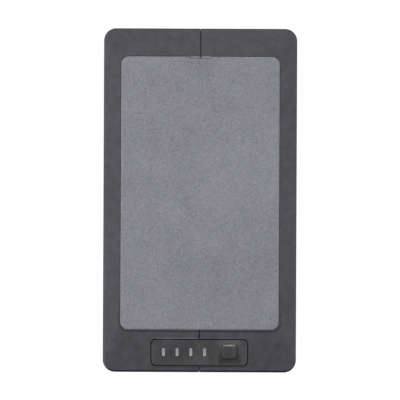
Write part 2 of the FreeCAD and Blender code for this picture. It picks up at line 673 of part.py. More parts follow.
def control_board():
    board = slab(-46, 46, POD_Z - 11.5, POD_Z + 11.5, 1.5, BOARD_Y, BOARD_Y + 1.6)
    for x, z in board_screw_places():
        board = board.cut(rod((x, -30, z), (x, -50, z), 1.1))
    save("control_board", board)
    save("led_chips", *[
        box(x - 1.4, x + 1.4, BOARD_Y, BOARD_Y - 0.9, LAMP_Z - 1.75, LAMP_Z + 1.75) for x in LAMP_X
    ])
    save("control_board_screws", *[
        machine_screw(x, BOARD_Y + 1.6, z, (0, -1, 0), 1.9, 1.3, 0.85, 5.6) for x, z in board_screw_places()
    ])
    save("bezel_screws", *[
        machine_screw(s * POD_SCREW_X, -42.6, POD_Z, (0, -1, 0), 2.5, 1.6, 1.15, 5.4) for s in (-1, 1)
    ])
    save("control_board_socket", socket(-14.0, BOARD_Y + 1.6, POD_Z, 1, 10.0))


def socket(x, y, z, side, width):
    """Small white cable socket standing on a board face at y, open away from it."""
    body = box(x - width / 2, x + width / 2, y, y + side * 5.0, z - 2.6, z + 2.6)
    hollow = box(x - width / 2 + 0.8, x + width / 2 - 0.8, y + side * 1.2, y + side * 6, z - 1.8, z + 1.8)
    return body.cut(hollow)


# ------------------------------------------------------------------ battery pack
def cells():
    """Cylindrical cells lying along X, each with a rolled neck and a raised contact."""
    group = []
    for i, z in enumerate(ROW_Z):
        side = 1 if (i // 2) % 2 == 0 else -1
        can = rod((-CELL_L / 2, CELL_Y, z), (CELL_L / 2, CELL_Y, z), CELL_R)
        neck, neck_end = side * (CELL_L / 2 - 4.0), side * (CELL_L / 2 - 2.4)
        can = can.cut(pipe((neck, CELL_Y, z), (neck_end, CELL_Y, z), CELL_R + 1, CELL_R - 0.7))
        contact = rod((side * CELL_L / 2, CELL_Y, z), (side * (CELL_L / 2 + 1.2), CELL_Y, z), 5.0)
        group.append(can.fuse(contact))
    save("cells", *group)


def cell_holder(side):
    """End frame with a round pocket and a contact window for each cell."""
    outer = side * (CELL_L / 2 + 2.0)
    inner = side * (CELL_L / 2 - 12.0)
    floor = side * (CELL_L / 2 + 0.1)
    body = box(inner, outer, -10.9, -40.7, HOLDER_BOTTOM_Z, HOLDER_TOP_Z)
    for z in ROW_Z:
        body = body.cut(rod((inner - side, CELL_Y, z), (floor, CELL_Y, z), CELL_R + 0.15))
        body = body.cut(rod((inner, CELL_Y, z), (outer + side, CELL_Y, z), 10.5))
    for y, z in tie_rod_places():
        body = body.cut(rod((inner - side, y, z), (outer + side, y, z), 2.1))
    for x, z in PACK_FEET:
        if x * side > 0:
            foot = box(outer - side * 2, x + side * 4.5, -9.2, -12.2, z - 5, z + 5)
            body = body.fuse(foot).cut(rod((x, 0, z), (x, -13, z), 1.6))
    return body


def tie_rod_places():
    return [(CELL_Y + dy, ROW_Z[i] - CELL_PITCH / 2) for dy in (-12.6, 12.6) for i in (1, 5)]


def tie_rods():
    group = []
    for y, z in tie_rod_places():
        reach = CELL_L / 2 + 2.0
        bar = rod((-reach - 3.6, y, z), (reach + 3.6, y, z), 1.95)
        nut_a = hexagon(reach, y, z, 6.4, (1, 0, 0), 3.0)
        nut_b = hexagon(-reach, y, z, 6.4, (-1, 0, 0), 3.0)
        group.append(bar.fuse(nut_a).fuse(nut_b))
    save("tie_rods", *group)


def busbar(side, first, last):
    """Nickel-plated strip joining the cells in rows first to last, with a raised pad at each."""
    x0, x1 = side * BUSBAR_X, side * (BUSBAR_X + 0.8)
    top, bottom = ROW_Z[first] + 8.0, ROW_Z[last] - 8.0
    strip = box(x0, x1, -17.6, -34.0, bottom, top)
    for z in ROW_Z[first:last + 1]:
        strip = strip.cut(box(x0 - side, x1 + side, -25.3, -26.3, z - 5.5, z + 5.5))
    return strip


def insulator(side):
    """Thin sheet over one end's bus bars, with a port for each lead."""
    near, far = side * (BUSBAR_X + 1.2), side * (BUSBAR_X + 1.6)
    sheet = box(near, far, -17.0, -34.6, HOLDER_BOTTOM_Z + 3, HOLDER_TOP_Z - 3)
    for tap_side, y, z in [POSITIVE_TAP, NEGATIVE_TAP] + BALANCE_TAPS:
        if tap_side == side:
            sheet = sheet.cut(rod((near - side, y, z), (far + side, y, z), 2.1))
    return sheet


def battery_pack():
    cells()
    save("left_cell_holder", cell_holder(-1))
    save("right_cell_holder", cell_holder(1))
    tie_rods()
    save("left_busbars", busbar(-1, 0, 3), busbar(-1, 4, 7))
    save("right_busbars", busbar(1, 0, 1), busbar(1, 2, 5), busbar(1, 6, 7))
    save("end_insulators", *[insulator(side) for side in (-1, 1)])
    save("front_foam_strips", *[
        slab(-50, 50, z - 9, z + 9, 3.0, CELL_Y - CELL_R, FLANGE_Y) for z in (-67.5, -22.5, 22.5, 67.5)
    ])
    foam = slab(-54, 54, -98, 112, 5.0, -8.5, CELL_Y + CELL_R)
    for x, z in hanger_screw_places():
        foam = foam.cut(rod((x, -5, z), (x, -12, z), 3.6))
    save("rear_foam_sheet", foam)
    save("pack_screws", *[
        machine_screw(x, -12.2, z, (0, 1, 0), 2.8, 1.8, 1.2, 6.6) for x, z in PACK_FEET
    ])
    sensor_y, sensor_z = CELL_Y - 7.0, ROW_Z[3] - CELL_PITCH / 2
    bead = rod((-24, sensor_y, sensor_z), (-16, sensor_y, sensor_z), 1.9)
    save("temperature_sensor", bead.fuse(Part.makeSphere(1.9, V(-16, sensor_y, sensor_z))))


# ------------------------------------------------------------------ electronics
def battery_management():
    front = BMS_FRONT_Y
    board = slab(-76, 76, -147, -113, 2.0, front + 1.6, front)
    for x, z in BMS_SCREWS:
        board = board.cut(rod((x, 0, z), (x, -20, z), 1.3))
    save("bms_board", board)
    save("bms_transistors", *[
        box(x - 3.3, x + 3.3, front, front - 2.3, -131, -124) for x in range(-44, 45, 11)
    ])
    base = box(-52, 52, front - 2.3, front - 4.3, -134, -121)
    for i in range(7):
        fin_z = -133.6 + 2.0 * i
        base = base.fuse(box(-52, 52, front - 4.0, front - 9.0, fin_z, fin_z + 0.8))
    save("bms_heat_sink", base)
    save("bms_shunt", box(38, 58, front, front - 2.0, -144, -137))
    save("bms_sockets", socket(BALANCE_X, front, BALANCE_Z, -1, 14.0), socket(-14, front, -141, -1, 10.0))
    save("bms_screws", *[
        machine_screw(x, front, z, (0, 1, 0), 2.2, 1.5, 1.05, 7.0) for x, z in BMS_SCREWS
    ])


def fuse():
    """Blade fuse in its holder on the board, in line with the positive lead."""
    x0, x1 = FUSE_X
    y0, y1 = BMS_FRONT_Y, BMS_FRONT_Y - 9.0
    z0, z1 = FUSE_Z
    holder = box(x0, x1, y0, y1, z0, z1)
    holder = holder.cut(box(x0 + 1.2, x1 - 1.2, y0 - 1.2, y1 + 1.2, z0 + 3, z1 + 1))
    save("fuse_holder", holder)
    body = box(x0 + 1.5, x1 - 1.5, y0 - 1.5, y1 + 1.5, z0 + 3, z1 + 3.5)
    save("blade_fuse", rounded(body, 0.8, [e for e in body.Edges if abs(e.BoundBox.ZMin - z1 - 3.5) < 1e-6]))


def power_leads():
    """The pack's two main leads: negative to the shunt, positive to the fuse."""
    tap_x, run_x = BUSBAR_X + 0.8, LEAD_RUN_X
    _, y, z = NEGATIVE_TAP
    foot = -141.0
    save("negative_lead", cable([
        (tap_x, y, z), (run_x, y, z), (run_x, y, foot), (54.0, y, foot), (54.0, BMS_FRONT_Y - 2.0, foot),
    ], 1.8))
    _, y, z = POSITIVE_TAP
    fuse_x, fuse_z = sum(FUSE_X) / 2, sum(FUSE_Z) / 2
    save("positive_lead", cable([
        (tap_x, y, z), (run_x, y, z), (run_x, y, fuse_z),
        (fuse_x, y, fuse_z), (fuse_x, BMS_FRONT_Y - 9.0, fuse_z),
    ], 1.8))


def signal_leads():
    """Output leads, balance leads and the cable to the control board."""
    bay = (BAY_Y[0] + BAY_Y[1]) / 2
    start_z = BAY_TOP_Z + BAY_WALL + 3.0
    save("output_leads", *[
        cable([(x, bay, start_z), (x, bay, -142.0), (x, -20.0, -139.0), (x, BMS_FRONT_Y, -139.0)], 1.0)
        for side in (-1, 1) for x in (side * CONNECTOR_X - 2.6, side * CONNECTOR_X + 2.6)
    ])
    harness = []
    for i, (side, y, z) in enumerate(BALANCE_TAPS):
        run_z, x = -113.0 + 1.5 * i, BALANCE_X + 3.6 - 2.4 * i
        harness.append(cable([
            (side * (BUSBAR_X + 0.8), y, z), (-LEAD_RUN_X, y, z), (-LEAD_RUN_X, y, run_z),
            (x, y, run_z), (x, -22.5, BALANCE_Z), (x, BMS_FRONT_Y - 1.2, BALANCE_Z),
        ], 0.6))
    save("balance_leads", *harness)
    save("control_cable", cable([
        (-14.0, -38.2, POD_Z), (-14.0, -33.4, POD_Z), (-14.0, -30.0, -141.0), (-14.0, -16.8, -141.0),
    ], 1.5))


# ------------------------------------------------------------------ connectors
def connectors():
    middle = (BAY_Y[0] + BAY_Y[1]) / 2
    under = BAY_TOP_Z
    above = BAY_TOP_Z + BAY_WALL
    inserts, pins, nuts, seals = [], [], [], []
    for side, name in ((-1, "input_connector"), (1, "output_connector")):
        x = side * CONNECTOR_X

        def at(z):
            return (x, middle, z)

        tip = under - 11.0
        body = rod(at(above + 6), at(tip), BARREL_R).fuse(rod(at(under - 0.8), at(under - 2.6), 7.2))
        body = body.cut(rod(at(tip - 1), at(tip + 7.5), BARREL_R - 1.4))
        body = body.cut(box(x - 0.9, x + 0.9, middle - 5, middle - 3, tip - 1, tip + 3))
        body = body.cut(rod(at(above + 7), at(above + 3), 4.2))
        save(name, body)
        insert = rod(at(tip + 1.0), at(tip + 7.4), BARREL_R - 1.5)
        group = []
        for i in range(4):
            angle = math.radians(45 + 90 * i)
            px, py = x + 2.3 * math.cos(angle), middle + 2.3 * math.sin(angle)
            pin = rod((px, py, tip + 0.4), (px, py, tip + 7.0), 0.75)
            insert = insert.cut(rod((px, py, tip - 1), (px, py, tip + 7.0), 0.75))
            group.append(pin)
        inserts.append(insert)
        pins += group
        nut = hexagon(x, middle, above, 14.0, (0, 0, 1), 3.4).cut(rod(at(above - 1), at(above + 5), BARREL_R))
        nuts.append(nut)
        seals.append(pipe(at(under), at(under - 0.8), 6.9, BARREL_R))
    save("connector_inserts", *inserts)
    save("connector_pins", *pins)
    save("connector_nuts", *nuts)
    save("connector_seals", *seals)


def breather_vent():
    """Round vent plug pressed into the roof of the connector bay."""
    z = BAY_TOP_Z
    x, y = VENT_X, (BAY_Y[0] + BAY_Y[1]) / 2
    cap = rod((x, y, z), (x, y, z - 2.4), 5.0)
    cap = rounded(cap, 0.8, [e for e in cap.Edges if abs(e.BoundBox.ZMax - (z - 2.4)) < 1e-6])
    for i in range(4):
        angle = math.radians(90 * i)
        cx, cy = x + 5.0 * math.cos(angle), y + 5.0 * math.sin(angle)
        cap = cap.cut(box(cx - 0.8, cx + 0.8, cy - 0.8, cy + 0.8, z, z - 1.2))
    save("breather_vent", cap.fuse(rod((x, y, z), (x, y, z + 4), 2.4)))


# ------------------------------------------------------------------ the whole unit
def build():
    os.makedirs("parts", exist_ok=True)
    half_shells()
    seam_joiners()
    rear_cover()
    rear_seal()
    wall_bumpers()
    rear_screws()
    wall_bracket()
    hangers()
    front_cover()
    tie_plate()
    control_bezel()
    bezel_seal()
    light_pipe()
    button_cap()
    push_switch()
    control_board()
    battery_pack()
    battery_management()
    fuse()
    power_leads()
    signal_leads()
    connectors()
    breather_vent()


build()
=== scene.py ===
import json
import math

import bpy
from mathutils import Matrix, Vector, noise

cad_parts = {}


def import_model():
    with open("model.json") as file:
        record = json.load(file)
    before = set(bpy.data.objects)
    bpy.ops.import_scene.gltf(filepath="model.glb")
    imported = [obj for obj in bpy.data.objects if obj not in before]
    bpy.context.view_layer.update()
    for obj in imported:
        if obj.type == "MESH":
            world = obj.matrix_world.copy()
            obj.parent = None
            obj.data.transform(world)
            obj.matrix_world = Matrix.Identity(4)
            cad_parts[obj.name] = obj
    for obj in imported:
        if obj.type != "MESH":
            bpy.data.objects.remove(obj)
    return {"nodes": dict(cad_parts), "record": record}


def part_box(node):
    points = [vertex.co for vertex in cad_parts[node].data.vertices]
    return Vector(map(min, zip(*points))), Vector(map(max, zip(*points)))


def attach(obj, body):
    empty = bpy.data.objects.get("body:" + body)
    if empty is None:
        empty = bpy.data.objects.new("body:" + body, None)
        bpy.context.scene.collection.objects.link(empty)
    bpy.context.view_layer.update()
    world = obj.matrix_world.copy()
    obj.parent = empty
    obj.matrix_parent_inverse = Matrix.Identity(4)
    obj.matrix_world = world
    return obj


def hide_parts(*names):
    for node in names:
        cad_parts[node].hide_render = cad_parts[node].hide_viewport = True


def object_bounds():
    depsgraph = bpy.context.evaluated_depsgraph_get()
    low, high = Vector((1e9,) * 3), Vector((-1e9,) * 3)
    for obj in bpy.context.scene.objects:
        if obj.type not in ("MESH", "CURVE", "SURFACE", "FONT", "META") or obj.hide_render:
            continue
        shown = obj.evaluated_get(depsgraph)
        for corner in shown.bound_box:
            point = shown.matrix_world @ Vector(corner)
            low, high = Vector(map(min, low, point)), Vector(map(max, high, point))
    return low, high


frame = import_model()
CAD_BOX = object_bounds()
NODES = frame["nodes"]
MM = 0.001


# ------------------------------------------------------------------ node-tree helper
class Look:
    """One procedural material, built node by node. Sizes are in millimetres."""

    def __init__(self, name):
        self.material = bpy.data.materials.new(name)
        self.material.use_nodes = True
        self.tree = self.material.node_tree
        self.shader = self.tree.nodes["Principled BSDF"]
        self.place = self.node("ShaderNodeTexCoord").outputs["Object"]

    def node(self, kind, inputs=(), **settings):
        made = self.tree.nodes.new(kind)
        for key, value in settings.items():
            setattr(made, key, value)
        for key, value in dict(inputs).items():
            self.put(made.inputs[key], value)
        return made

    def put(self, socket, value):
        if isinstance(value, bpy.types.NodeSocket):
            self.tree.links.new(value, socket)
        else:
            socket.default_value = value

    def math(self, operation, a, b=0.0, clamp=False):
        return self.node("ShaderNodeMath", {0: a, 1: b}, operation=operation, use_clamp=clamp).outputs[0]

    def axes(self):
        return self.node("ShaderNodeSeparateXYZ", {0: self.place}).outputs

    def stretched(self, x, y, z):
        return self.node("ShaderNodeMapping", {"Vector": self.place, "Scale": (x, y, z)}).outputs[0]

    def noise(self, size, detail=2.0, rough=0.55, place=None):
        """Cloud noise from 0 to 1, with features about this size."""
        return self.node("ShaderNodeTexNoise", {
            "Vector": self.place if place is None else place, "Scale": 1.0 / (size * MM),
            "Detail": detail, "Roughness": rough,
        }).outputs["Fac"]

    def cells(self, size, feature="F1"):
        """Distance to the middle of the nearest of many cells of about this size."""
        return self.node("ShaderNodeTexVoronoi", {
            "Vector": self.place, "Scale": 1.0 / (size * MM),
        }, feature=feature).outputs["Distance"]

    def span(self, value, low, high, to_low=0.0, to_high=1.0):
        """value carried from the range low..high to another range, and held at its ends."""
        return self.node("ShaderNodeMapRange", {
            "Value": value, "From Min": low, "From Max": high, "To Min": to_low, "To Max": to_high,
        }).outputs[0]

    def fade(self, value, low, high):
        """0 at low and 1 at high, with a soft start and end."""
        return self.node("ShaderNodeMapRange", {
            "Value": value, "From Min": low, "From Max": high,
        }, interpolation_type="SMOOTHSTEP").outputs[0]

    def mix(self, amount, a, b):
        """Colour a, giving way to colour b as amount goes from 0 to 1."""
        made = self.node("ShaderNodeMix", data_type="RGBA", blend_type="MIX")
        self.put(made.inputs["Factor"], amount)
        self.put(made.inputs[6], (*a, 1.0) if isinstance(a, tuple) else a)
        self.put(made.inputs[7], (*b, 1.0) if isinstance(b, tuple) else b)
        return made.outputs[2]

    def tinted(self, colour, value):
        """colour times a number."""
        return self.node("ShaderNodeVectorMath", {0: colour, 3: value}, operation="SCALE").outputs[0]

    def edges(self, radius):
        """0 on flat faces, rising to 1 on edges sharper than this radius."""
        soft = self.soft_edge(radius)
        flat = self.node("ShaderNodeNewGeometry").outputs["Normal"]
        facing = self.node("ShaderNodeVectorMath", {0: soft, 1: flat}, operation="DOT_PRODUCT")
        return self.span(facing.outputs["Value"], 0.995, 0.86)

    def inside(self, low, high, soft=0.05):
        """1 inside a box given by its corners in metres, 0 outside."""
        amount = None
        for k, axis in enumerate(self.axes()):
            up = self.span(axis, low[k] - soft * MM, low[k] + soft * MM)
            down = self.span(axis, high[k] + soft * MM, high[k] - soft * MM)
            both = self.math("MULTIPLY", up, down)
            amount = both if amount is None else self.math("MULTIPLY", amount, both)
        return amount

    def rubbed(self, radius, size, low, high):
        """Edges worn here and there: sharp edges, where cloud noise rises from low to high."""
        patchy = self.span(self.noise(size, 4.0, 0.7), low, high)
        return self.math("MULTIPLY", self.edges(radius), patchy, clamp=True)

    def painted_underside_shade(self, level):
        """Painted shade: 1 on faces that look up or sideways, falling to this level on those that look down.
        """
        normal = self.node("ShaderNodeNewGeometry").outputs["Normal"]
        upward = self.node("ShaderNodeSeparateXYZ", {0: normal}).outputs[2]
        return self.span(upward, -0.55, -0.24, level, 1.0)

    def shelf(self, low, high, reach, above, below):
        """Painted light just above and painted shade just below a raised part, seen from the front: levels
        that fade to 1 this far out.
        """
        place = self.axes()
        outside = [self.math("MAXIMUM", self.math("SUBTRACT", low[k], place[k]),
                             self.math("SUBTRACT", place[k], high[k])) for k in (0, 2)]
        squares = [self.math("POWER", self.math("MAXIMUM", value, 0.0), 2.0) for value in outside]
        near = self.fade(self.math("SQRT", self.math("ADD", *squares)), reach * MM, 0.0)
        level = self.span(place[2], low[2], high[2], below, above)
        return self.math("ADD", 1.0, self.math("MULTIPLY", near, self.math("SUBTRACT", level, 1.0)))

    def shade_line(self, low, high, corner, gap, width, soft, fade):
        """Painted shadow: 1 on a line round a rounded outline seen from the front, fading out on its way up
        the sides.
        """
        x, _, z = self.axes()
        beyond = []
        for place, k in ((x, 0), (z, 2)):
            middle, half = (low[k] + high[k]) / 2, (high[k] - low[k]) / 2 - corner * MM
            away = self.math("ABSOLUTE", self.math("SUBTRACT", place, middle))
            past = self.math("MAXIMUM", self.math("SUBTRACT", away, half), 0.0)
            beyond.append(self.math("POWER", past, 2.0))
        out = self.math("SUBTRACT", self.math("SQRT", self.math("ADD", *beyond)), (corner + gap) * MM)
        line = self.span(self.math("ABSOLUTE", out), (width / 2 + soft) * MM, (width / 2 - soft) * MM)
        return self.math("MULTIPLY", line, self.span(z, low[2] + fade * MM, low[2]))

    def near_centre(self, centre, reach=24.0):
        """1 at the centre, falling to 0 at this reach."""
        away = self.node("ShaderNodeVectorMath", {0: self.place, 1: centre}, operation="DISTANCE")
        return self.fade(away.outputs["Value"], reach * MM, reach * MM / 3)

    def bump(self, height, depth, after=None):
        """Surface relief; height runs from 0 to 1 and depth is what 1 stands for."""
        made = self.node("ShaderNodeBump", {"Height": height, "Distance": depth * MM, "Strength": 1.0})
        if after is not None:
            self.put(made.inputs["Normal"], after)
        return made.outputs[0]

    def soft_edge(self, radius):
        """Normals that round off sharp edges to this radius."""
        return self.node("ShaderNodeBevel", {"Radius": radius * MM}, samples=4).outputs[0]

    def finish(self, colour, rough, normal=None, **more):
        """Join everything to the shader; more names other inputs of it in lower case."""
        inputs = self.shader.inputs
        self.put(inputs["Base Color"], colour)
        self.put(inputs["Roughness"], rough)
        if normal is not None:
            self.put(inputs["Normal"], normal)
        for key, value in more.items():
            self.put(inputs[key.replace("_", " ").title().replace("Ior", "IOR")], value)
        return self.material


# ------------------------------------------------------------------ materials
def moulded(name, colour, rough=0.5, grain=0.45, depth=0.02, mottle=0.05, patch=0.04, wear=0.16, gloss=0.5,
            under=1.0, regions=(), shelf=None, line=None):
    """Moulded plastic: spark-eroded grain, faint mottling, lighter and smoother along its edges.

    regions are boxes of another colour, used for painted light and shade; under is the level of painted
    shade on faces that look down; shelf is painted light and shade round a raised part; and line is a
    painted shadow line round an outline.
    """
    look = Look(name)
    fine = look.noise(grain, 3.0, 0.6)
    coarse = look.noise(grain * 4.5, 2.0)
    cloud = look.noise(38.0, 3.0, 0.6)
    smear = look.noise(9.0, 4.0, 0.65, look.stretched(1.0, 1.0, 0.35))
    shade = look.math("ADD", look.span(cloud, 0.3, 0.7, 1.0 - mottle, 1.0 + mottle),
                      look.span(fine, 0.25, 0.75, -mottle * 1.6, mottle * 1.6))
    shade = look.math("ADD", shade, look.span(look.noise(7.0, 3.0), 0.3, 0.7, -patch, patch))
    shade = look.math("MULTIPLY", shade, look.painted_underside_shade(under))
    if shelf is not None:
        shade = look.math("MULTIPLY", shade, look.shelf(*shelf))
    base = look.tinted(colour, shade)
    for low, high, other, soft in regions:
        base = look.mix(look.inside(low, high, soft), base, look.tinted(other, shade))
    if line is not None:
        *place, other = line
        base = look.mix(look.shade_line(*place), base, look.tinted(other, shade))
    rubbed = look.rubbed(0.9, 6.0, 0.32, 0.62)
    paler = tuple(min(1.0, c * 1.7 + 0.02) for c in colour)
    base = look.mix(look.math("MULTIPLY", rubbed, wear), base, paler)
    polish = look.math("ADD", look.span(smear, 0.3, 0.7, -0.06, 0.06),
                       look.math("MULTIPLY", rubbed, -0.14))
    roughness = look.math("ADD", look.math("ADD", rough, polish), look.span(fine, 0.3, 0.7, -0.05, 0.05),
                          clamp=True)
    relief = look.math("ADD", look.math("MULTIPLY", fine, 0.7), look.math("MULTIPLY", coarse, 0.3))
    normal = look.bump(relief, depth, look.soft_edge(0.35))
    return look.finish(base, roughness, normal, specular_ior_level=gloss)


def plated(name, colour, rough=0.36, along="x"):
    """Zinc- or nickel-plated metal: rolling streaks, cloudy passivation, brighter edges."""
    look = Look(name)
    stretch = {"x": (0.04, 1.0, 1.0), "z": (1.0, 1.0, 0.04)}[along]
    streak = look.noise(0.5, 3.0, 0.6, look.stretched(*stretch))
    cloud = look.noise(7.0, 4.0, 0.7)
    crystal = look.cells(2.6, feature="SMOOTH_F1")
    shade = look.math("ADD", look.span(cloud, 0.3, 0.7, 0.9, 1.1),
                      look.span(streak, 0.3, 0.7, -0.05, 0.05))
    base = look.tinted(colour, shade)
    paler = tuple(min(1.0, c * 1.25) for c in colour)
    base = look.mix(look.math("MULTIPLY", look.edges(0.4), 0.4), base, paler)
    roughness = look.math("ADD", look.span(cloud, 0.3, 0.7, rough - 0.07, rough + 0.09),
                          look.span(crystal, 0.0, 0.7, -0.03, 0.04))
    normal = look.bump(streak, 0.006, look.soft_edge(0.2))
    return look.finish(base, roughness, normal, metallic=1.0)


def coated(name, colour):
    """Powder-coated steel: orange-peel relief with a few rubbed edges."""
    look = Look(name)
    peel = look.noise(1.6, 3.0, 0.5)
    pits = look.cells(0.7, feature="SMOOTH_F1")
    cloud = look.noise(30.0, 3.0)
    base = look.tinted(colour, look.span(cloud, 0.3, 0.7, 0.96, 1.04))
    worn = look.rubbed(0.5, 4.0, 0.5, 0.66)
    base = look.mix(look.math("MULTIPLY", worn, 0.75), base, (0.33, 0.33, 0.33))
    relief = look.math("ADD", look.math("MULTIPLY", peel, 0.8), look.math("MULTIPLY", pits, 0.2))
    roughness = look.math("ADD", look.span(peel, 0.3, 0.7, 0.37, 0.48), look.math("MULTIPLY", worn, -0.1))
    return look.finish(base, roughness, look.bump(relief, 0.03, look.soft_edge(0.3)),
                       metallic=look.math("MULTIPLY", worn, 0.7))


def rubber(name, colour, rough=0.78):
    """Soft rubber or foam: open pores, dusty bloom."""
    look = Look(name)
    pores = look.cells(0.55, feature="SMOOTH_F1")
    bloom = look.noise(5.0, 5.0, 0.7)
    base = look.mix(look.span(bloom, 0.45, 0.75, 0.0, 0.35), colour, tuple(c * 1.6 + 0.015 for c in colour))
    roughness = look.span(bloom, 0.3, 0.7, rough - 0.06, rough + 0.08)
    return look.finish(base, roughness, look.bump(pores, 0.05, look.soft_edge(0.3)), specular_ior_level=0.3)


def glossy(name, colour, rough=0.28, grain=0.8, depth=0.004, spread=0.06, **more):
    """Smooth plastic, lacquer or film with slight unevenness."""
    look = Look(name)
    ripple = look.noise(grain, 3.0, 0.6)
    cloud = look.noise(12.0, 3.0, 0.6)
    base = look.tinted(colour, look.span(cloud, 0.3, 0.7, 1.0 - spread, 1.0 + spread))
    roughness = look.span(look.noise(3.0, 4.0, 0.65), 0.3, 0.7, rough - 0.06, rough + 0.1)
    return look.finish(base, roughness, look.bump(ripple, depth, look.soft_edge(0.2)), **more)


def circuit(name):
    """Green solder mask over copper traces and pads."""
    look = Look(name)
    x, _, z = look.axes()
    traces = look.node("ShaderNodeTexBrick", {
        "Vector": look.node("ShaderNodeCombineXYZ", {0: x, 1: z}).outputs[0], "Scale": 260.0,
        "Mortar Size": 0.06, "Mortar Smooth": 0.2, "Brick Width": 1.3, "Row Height": 0.42,
    }, offset=0.37).outputs["Fac"]
    pads = look.span(look.cells(3.4), 0.16, 0.13)
    base = look.mix(look.math("MULTIPLY", traces, 0.5), (0.012, 0.11, 0.045), (0.03, 0.2, 0.08))
    base = look.mix(pads, base, (0.62, 0.6, 0.55))
    roughness = look.math("ADD", 0.3, look.span(look.noise(2.0), 0.3, 0.7, -0.05, 0.08))
    return look.finish(base, roughness, look.bump(traces, 0.03), metallic=look.math("MULTIPLY", pads, 0.8))


def felt_look(name, colour, dark_centre):
    """Pressed felt: matted fibres, flecks, broad mottling, a soft sheen, and darker round one point."""
    look = Look(name)
    tangle = look.node("ShaderNodeTexNoise", {"Vector": look.place, "Scale": 420.0}).outputs["Color"]
    swirl = look.node("ShaderNodeVectorMath", {
        0: look.place, 1: tangle, 2: (0.0016, 0.0016, 0.0016),
    }, operation="MULTIPLY_ADD").outputs[0]
    lays = []
    for turn, stretch in ((0.6, (0.22, 1.0, 1.0)), (-0.9, (1.0, 1.0, 0.22))):
        laid = look.node("ShaderNodeMapping", {
            "Vector": swirl, "Rotation": (0.0, turn, 0.0), "Scale": stretch,
        }).outputs[0]
        lays.append(look.noise(0.5, 4.0, 0.7, laid))
    hairs = look.math("MAXIMUM", *lays)
    tuft = look.noise(2.1, 3.0, 0.65)
    layers = (
        look.span(tuft, 0.25, 0.75, -0.22, 0.22),
        look.span(look.noise(1.15, 2.0, 0.6), 0.25, 0.75, -0.23, 0.23),
        look.span(look.noise(26.0, 3.0, 0.6), 0.3, 0.7, -0.055, 0.055),
        look.span(look.noise(85.0, 2.0, 0.5), 0.3, 0.7, -0.05, 0.05),
        look.math("MULTIPLY", look.near_centre(dark_centre), -NOTCH_DARKENING),
    )
    shade = look.span(hairs, 0.42, 0.72, 0.84, 1.17)
    for layer in layers:
        shade = look.math("ADD", shade, layer)
    fleck = look.span(look.cells(1.9), 0.17, 0.09)
    paler = tuple(c * 1.9 for c in colour)
    base = look.mix(look.math("MULTIPLY", fleck, 0.35), look.tinted(colour, shade), paler)
    relief = look.math("ADD", look.math("MULTIPLY", hairs, 0.6), look.math("MULTIPLY", tuft, 0.4))
    return look.finish(base, look.span(tuft, 0.3, 0.7, 0.88, 0.98), look.bump(relief, 0.22),
                       specular_ior_level=0.2, sheen_weight=0.25, sheen_roughness=0.5)


def light_guide(name, low, high):
    """Frosted clear bars: painted light that makes them brighter towards the foot, cloudy inside."""
    look = Look(name)
    height = look.span(look.axes()[2], high, low)
    cloud = look.noise(1.4, 3.0, 0.6)
    # painted light: darker at the top of the bars, brighter at the foot
    base = look.mix(height, (0.207, 0.213, 0.24), (0.332, 0.328, 0.34))
    base = look.tinted(base, look.span(cloud, 0.3, 0.7, 0.93, 1.07))
    frost = look.bump(look.noise(0.3, 3.0), 0.01)
    return look.finish(base, look.span(cloud, 0.3, 0.7, 0.3, 0.42), frost, coat_weight=0.2)


# where the looks change on a piece, placed from the nodes' boxes
NOTCH_DARKENING = 0.1              # how much darker the felt is round the middle of its top edge
LEDGE_LIGHT_HALF = 12.5 * MM       # half the width of the painted light on the finger ledge
BEAD_HIGHLIGHT_HALF = 42.5 * MM        # half the length of the painted highlight on the bead over the pod
RIM_CORNER = 8 * MM          # the lower rim's shade stops this far from the sides
COVER_CORNER = 7.5           # the cover's corner radius, in millimetres

felt_low, felt_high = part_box("cover_felt")
pipe_low, pipe_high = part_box("light_pipe")
_, bezel_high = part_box("control_bezel")
shell_low, shell_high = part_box("left_shell")
near_y = felt_low.y - MM
far_y = felt_high.y + 2 * MM
bead_low, bead_high = bezel_high.z - 0.9 * MM, bezel_high.z - 0.1 * MM
rim_half = max(-shell_low.x, shell_high.x) - RIM_CORNER

# each is its low corner, its high corner, its colour and the softness of its edge in millimetres
CASING_REGIONS = (
    # painted light on the finger ledge
    ((-LEDGE_LIGHT_HALF, near_y, felt_high.z - 1.75 * MM),
     (LEDGE_LIGHT_HALF, felt_low.y + 6 * MM, felt_high.z + 0.72 * MM), (0.152, 0.152, 0.164), 0.05),
    # painted highlight on the bead above the pod, brighter over its left half
    ((-BEAD_HIGHLIGHT_HALF, near_y, bead_low), (0.0, far_y, bead_high), (0.125, 0.123, 0.135), 0.1),
    ((0.0, near_y, bead_low), (BEAD_HIGHLIGHT_HALF, far_y, bead_high), (0.071, 0.07, 0.077), 0.1),
    # the shaded lower rim
    ((-rim_half, near_y, shell_low.z - MM),
     (rim_half, felt_low.y + 9 * MM, shell_low.z + 1.8 * MM), (0.02, 0.0195, 0.022), 0.5),
)
# painted shadow round the cover's lower corners: corner radius, distance from the outline, width, softness
# and height of the fade, and colour
COVER_SHADOW_LINE = (felt_low, felt_high, COVER_CORNER, 1.75, 1.1, 0.3, 22.0, (0.014, 0.0135, 0.017))
# reach of the painted light above the button and the painted shade below it, and their levels
BUTTON_LIGHT_AND_SHADE = (*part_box("button_cap"), 5.5, 1.5, 0.25)

